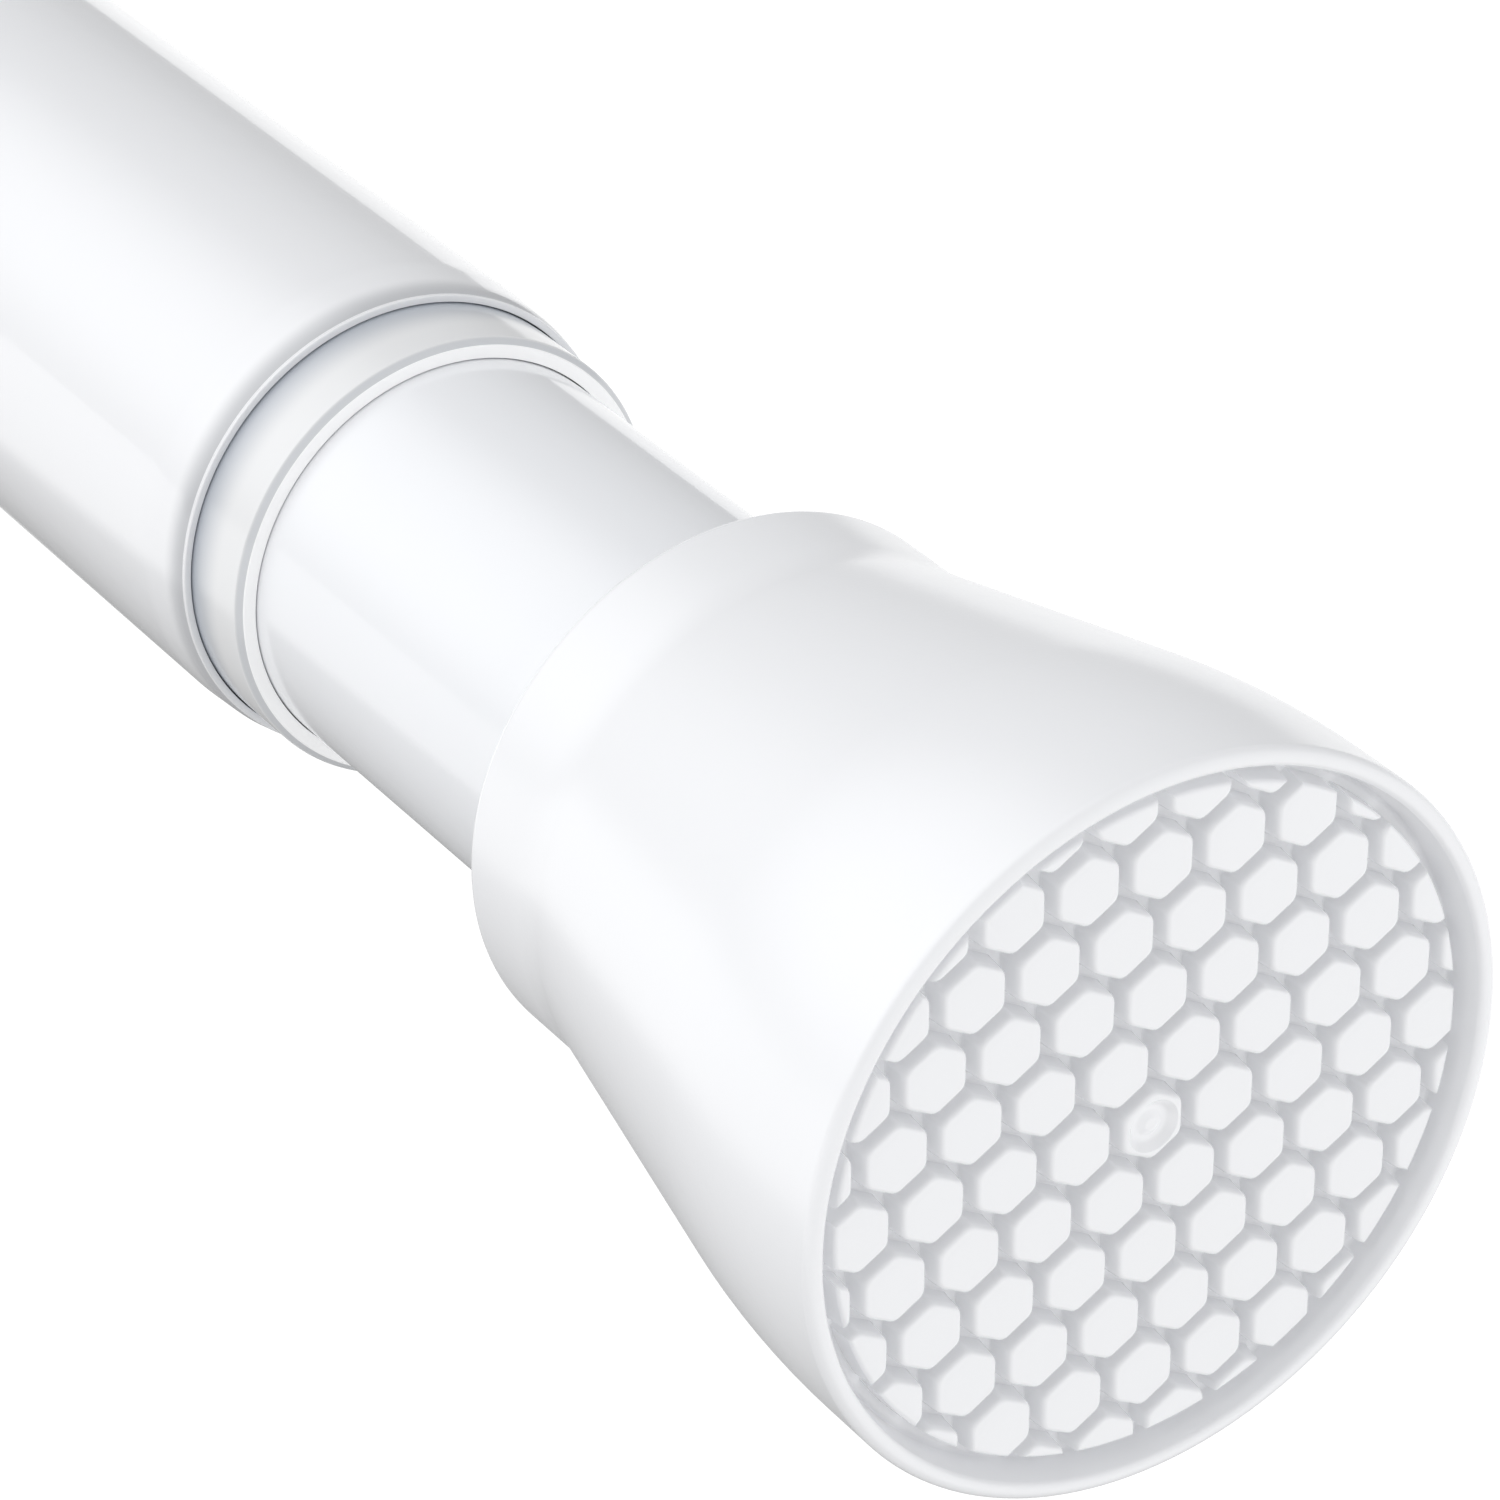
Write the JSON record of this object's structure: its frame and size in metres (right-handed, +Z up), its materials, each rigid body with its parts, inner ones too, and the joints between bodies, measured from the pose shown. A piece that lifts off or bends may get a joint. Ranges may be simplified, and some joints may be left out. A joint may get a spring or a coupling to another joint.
{
  "type": "spring tension rod",
  "caption": "Telescoping spring tension rod: white steel tubes, a clear collar and flared soft caps with honeycomb grip pads.",
  "frame": {"origin": "centre of the wide tube's pad, in the plane where its rim meets the wall", "axes": "+X along the rod, from the wide tube's pad to the narrow tube's pad; +Z up"},
  "size_m": [0.4064, 0.032, 0.032],
  "materials": {
    "white_paint": "gloss powder coat",
    "clear_plastic": "clear, slightly milky moulding",
    "cap_rubber": "satin, soft",
    "plug_plastic": "moulded",
    "nylon": "natural moulded nylon",
    "plated_steel": "bright zinc plate",
    "spring_steel": "drawn wire"
  },
  "bodies": {
    "outer_rod": {"outer_tube": "white_paint", "mouth_collar": "clear_plastic", "outer_end_plug": "plug_plastic", "outer_end_cap": "cap_rubber"},
    "guide": {"guide_disc": "nylon"},
    "spindle": {"lock_spindle": "nylon", "stem": "plated_steel", "stop_nut": "plated_steel", "guide_screw": "plated_steel", "spring": "spring_steel"},
    "cam": {"cam_ring": "nylon"},
    "inner_rod": {"inner_tube": "white_paint", "guide_bush": "nylon", "inner_end_plug": "plug_plastic", "inner_end_cap": "cap_rubber"}
  },
  "joints": [
    {"name": "length_slide", "type": "slide", "parent": "outer_rod", "child": "guide", "axis": [1, 0, 0], "range_m": [0, 0.2032]},
    {"name": "lock_twist", "type": "hinge", "parent": "guide", "child": "spindle", "pos_m": [0.0362, 0, 0], "axis": [1, 0, 0], "range_deg": [-29, 29]},
    {"name": "cam_turn", "type": "hinge", "parent": "spindle", "child": "cam", "pos_m": [0.04845, 0, -0.0015], "axis": [1, 0, 0], "range_deg": [-29, 29]},
    {"name": "spring_slide", "type": "slide", "parent": "spindle", "child": "inner_rod", "axis": [1, 0, 0], "range_m": [-0.02, 0], "stiffness_N_per_m": 1500, "springref_m": 0.012, "deforming": ["spring"]}
  ],
  "couplings": [
    {"joint": "cam_turn", "follows": "lock_twist", "ratio": -1}
  ]
}
